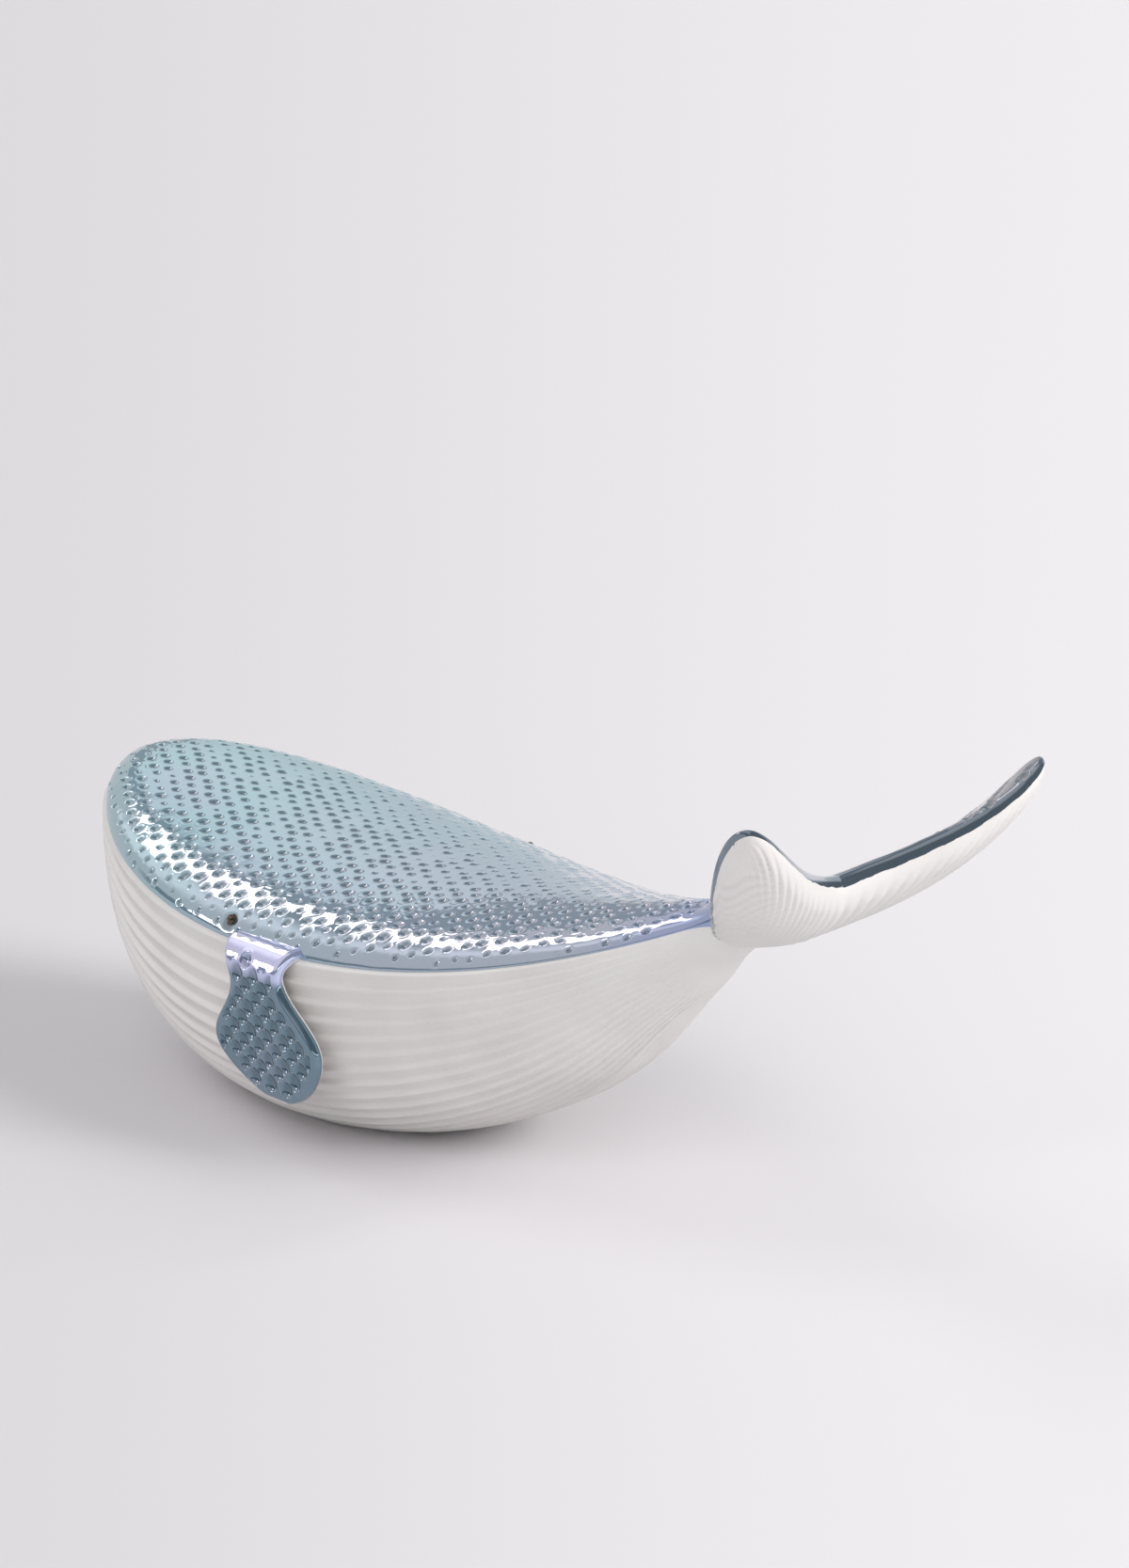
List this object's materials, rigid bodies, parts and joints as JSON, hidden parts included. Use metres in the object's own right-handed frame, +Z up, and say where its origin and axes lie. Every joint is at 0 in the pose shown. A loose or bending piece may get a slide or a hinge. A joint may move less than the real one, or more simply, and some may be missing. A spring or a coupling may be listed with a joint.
{
  "type": "whale figurine",
  "caption": "Hollow porcelain whale with a dimpled lustre-glazed back, a pleated biscuit belly, hanging pectoral fins and a raised crescent fluke, resting on a flat foot.",
  "frame": {"origin": "middle of the flat foot, on the plane the whale rests on", "axes": "+X from the snout to the tail, +Z up, port flank at -Y"},
  "size_m": [0.388, 0.153, 0.1634],
  "materials": {
    "biscuit_porcelain": "unglazed matte biscuit",
    "lustre_glaze": "glossy blue-grey metallic lustre over pressed dimples",
    "fluke_porcelain": "matte biscuit underside with lustre glaze on the upper face and rim",
    "bronze_lustre": "speckled bronze lustre"
  },
  "bodies": {
    "root": {"belly_shell": "biscuit_porcelain", "back_shell": "lustre_glaze", "tail_fluke": "fluke_porcelain", "fin_left": "lustre_glaze", "fin_right": "lustre_glaze", "eye_left": "bronze_lustre", "eye_right": "bronze_lustre"}
  },
  "joints": []
}
